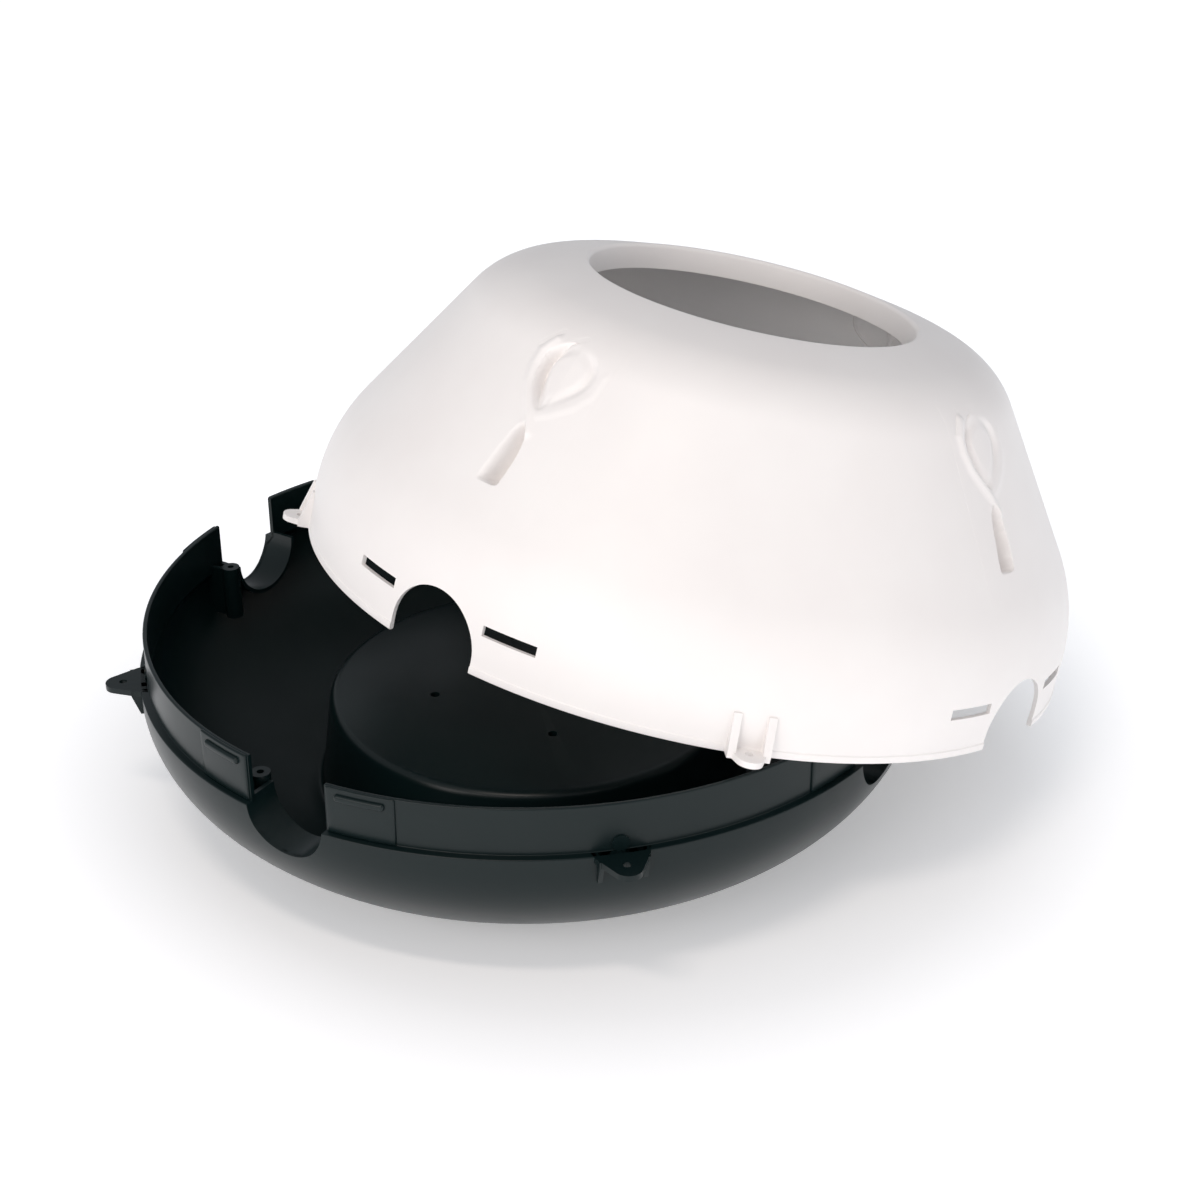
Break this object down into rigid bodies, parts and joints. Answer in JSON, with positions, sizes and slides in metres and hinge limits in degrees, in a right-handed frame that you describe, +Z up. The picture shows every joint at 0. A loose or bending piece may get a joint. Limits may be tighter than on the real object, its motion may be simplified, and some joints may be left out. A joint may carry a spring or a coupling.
{
  "type": "cat litter box with hood",
  "caption": "Round litter box with a dark bowl-shaped pan and a white domed hood with a round top entry, shown with the hood lifted and leaning on the pan's rim.",
  "frame": {"origin": "on the floor, under the middle of the whole object's box with the hood leaning on the pan", "axes": "+Z up along the pan's own axis, +X from the pan towards the side the hood leans to, +Y to the back"},
  "size_m": [0.6994, 0.6126, 0.3694],
  "materials": {
    "pan_plastic": "near-black moulded plastic, satin to gloss",
    "hood_plastic": "warm off-white moulded plastic, satin"
  },
  "bodies": {
    "pan": {"pan_shell": "pan_plastic", "port_collar_1": "pan_plastic", "screw_boss_1": "pan_plastic", "catch_1a": "pan_plastic", "catch_1b": "pan_plastic", "pan_ear_1": "pan_plastic", "port_collar_2": "pan_plastic", "screw_boss_2": "pan_plastic", "catch_2a": "pan_plastic", "catch_2b": "pan_plastic", "pan_ear_2": "pan_plastic", "port_collar_3": "pan_plastic", "screw_boss_3": "pan_plastic", "catch_3a": "pan_plastic", "catch_3b": "pan_plastic", "pan_ear_3": "pan_plastic", "port_collar_4": "pan_plastic", "screw_boss_4": "pan_plastic", "catch_4a": "pan_plastic", "catch_4b": "pan_plastic", "pan_ear_4": "pan_plastic"},
    "hood": {"hood_shell": "hood_plastic", "hood_grip_1": "hood_plastic", "hood_lug_1": "hood_plastic", "hood_grip_2": "hood_plastic", "hood_lug_2": "hood_plastic", "hood_grip_3": "hood_plastic", "hood_lug_3": "hood_plastic", "hood_grip_4": "hood_plastic", "hood_lug_4": "hood_plastic"}
  },
  "joints": [
    {"name": "hood_lift", "type": "slide", "parent": "pan", "child": "hood", "axis": [0, 0, 1], "range_m": [0, 0.25]}
  ]
}
